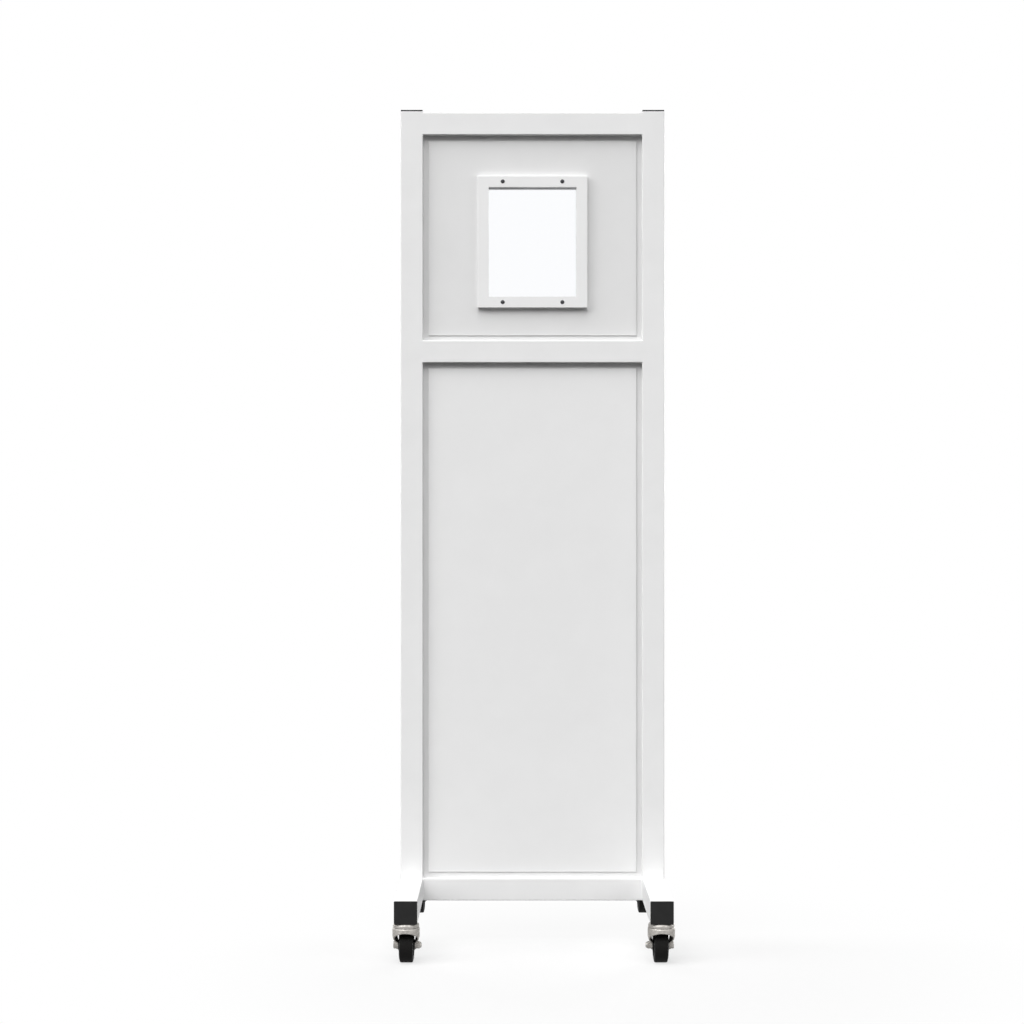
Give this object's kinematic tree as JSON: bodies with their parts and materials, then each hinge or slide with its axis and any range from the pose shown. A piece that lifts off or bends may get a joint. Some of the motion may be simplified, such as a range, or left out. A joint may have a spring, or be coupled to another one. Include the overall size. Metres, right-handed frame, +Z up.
{
  "type": "mobile lead barrier",
  "caption": "Tall rolling radiation shield: square-tube frame on swivel casters, lead-lined panels with raised faces, and a framed lead glass window.",
  "frame": {"origin": "centre of the whole barrier's floor print, on the floor under the wheels", "axes": "+Z up, +X to the right seen from the front, +Y to the rear, where the wheels trail; the front panel faces look along -Y"},
  "size_m": [0.6188, 0.6518, 1.9208],
  "materials": {
    "frame_coat": "white semi-gloss powder coat on steel tube, fine orange peel",
    "channel_coat": "white semi-gloss powder coat on steel channel",
    "panel_coat": "white satin powder coat on aluminium sheet",
    "window_coat": "white satin powder coat on aluminium bar",
    "cap_plastic": "moulded black polyethylene, satin",
    "lead_sheet": "rolled lead, dull grey",
    "core_board": "sanded plywood",
    "gasket_rubber": "extruded black rubber",
    "lead_glass": "polished lead glass, faint cool tint",
    "dark_screw": "dark oxide on steel",
    "zinc_plate": "bright zinc plate on pressed steel",
    "ball_steel": "polished bearing steel",
    "wheel_plastic": "moulded black polypropylene",
    "tyre_rubber": "black rubber tread, fine matt grain"
  },
  "bodies": {
    "frame": {"left_post": "frame_coat", "right_post": "frame_coat", "top_rail": "frame_coat", "middle_rail": "frame_coat", "bottom_rail": "frame_coat", "left_leg": "frame_coat", "right_leg": "frame_coat", "left_post_cap": "cap_plastic", "right_post_cap": "cap_plastic", "front_left_leg_cap": "cap_plastic", "front_right_leg_cap": "cap_plastic", "rear_left_leg_cap": "cap_plastic", "rear_right_leg_cap": "cap_plastic", "upper_channel": "channel_coat", "lower_channel": "channel_coat", "upper_front_skin": "panel_coat", "upper_rear_skin": "panel_coat", "lower_front_skin": "panel_coat", "lower_rear_skin": "panel_coat", "upper_lead_sheet": "lead_sheet", "lower_lead_sheet": "lead_sheet", "upper_core_board": "core_board", "lower_core_board": "core_board", "window_front_frame": "window_coat", "window_rear_frame": "window_coat", "glazing_gasket": "gasket_rubber", "lead_glass": "lead_glass", "window_screws": "dark_screw", "window_sleeve_nuts": "dark_screw", "stem_nuts": "zinc_plate", "swivel_balls": "ball_steel", "front_left_stem": "zinc_plate", "front_left_race": "zinc_plate", "front_right_stem": "zinc_plate", "front_right_race": "zinc_plate", "rear_left_stem": "zinc_plate", "rear_left_race": "zinc_plate", "rear_right_stem": "zinc_plate", "rear_right_race": "zinc_plate"},
    "front_left_caster_fork": {"front_left_fork": "zinc_plate", "front_left_axle": "zinc_plate", "front_left_axle_nut": "zinc_plate"},
    "front_left_caster_wheel": {"front_left_wheel": "wheel_plastic", "front_left_tyre": "tyre_rubber"},
    "front_right_caster_fork": {"front_right_fork": "zinc_plate", "front_right_axle": "zinc_plate", "front_right_axle_nut": "zinc_plate"},
    "front_right_caster_wheel": {"front_right_wheel": "wheel_plastic", "front_right_tyre": "tyre_rubber"},
    "rear_left_caster_fork": {"rear_left_fork": "zinc_plate", "rear_left_axle": "zinc_plate", "rear_left_axle_nut": "zinc_plate"},
    "rear_left_caster_wheel": {"rear_left_wheel": "wheel_plastic", "rear_left_tyre": "tyre_rubber"},
    "rear_right_caster_fork": {"rear_right_fork": "zinc_plate", "rear_right_axle": "zinc_plate", "rear_right_axle_nut": "zinc_plate"},
    "rear_right_caster_wheel": {"rear_right_wheel": "wheel_plastic", "rear_right_tyre": "tyre_rubber"}
  },
  "joints": [
    {"name": "front_left_swivel", "type": "hinge", "parent": "frame", "child": "front_left_caster_fork", "pos_m": [-0.2794, -0.29595, 0.092], "axis": [0, 0, 1], "continuous": true},
    {"name": "front_left_wheel_spin", "type": "hinge", "parent": "front_left_caster_fork", "child": "front_left_caster_wheel", "pos_m": [-0.2794, -0.27095, 0.0381], "axis": [1, 0, 0], "continuous": true},
    {"name": "front_right_swivel", "type": "hinge", "parent": "frame", "child": "front_right_caster_fork", "pos_m": [0.2794, -0.29595, 0.092], "axis": [0, 0, 1], "continuous": true},
    {"name": "front_right_wheel_spin", "type": "hinge", "parent": "front_right_caster_fork", "child": "front_right_caster_wheel", "pos_m": [0.2794, -0.27095, 0.0381], "axis": [1, 0, 0], "continuous": true},
    {"name": "rear_left_swivel", "type": "hinge", "parent": "frame", "child": "rear_left_caster_fork", "pos_m": [-0.2794, 0.26285, 0.092], "axis": [0, 0, 1], "continuous": true},
    {"name": "rear_left_wheel_spin", "type": "hinge", "parent": "rear_left_caster_fork", "child": "rear_left_caster_wheel", "pos_m": [-0.2794, 0.28785, 0.0381], "axis": [1, 0, 0], "continuous": true},
    {"name": "rear_right_swivel", "type": "hinge", "parent": "frame", "child": "rear_right_caster_fork", "pos_m": [0.2794, 0.26285, 0.092], "axis": [0, 0, 1], "continuous": true},
    {"name": "rear_right_wheel_spin", "type": "hinge", "parent": "rear_right_caster_fork", "child": "rear_right_caster_wheel", "pos_m": [0.2794, 0.28785, 0.0381], "axis": [1, 0, 0], "continuous": true}
  ]
}
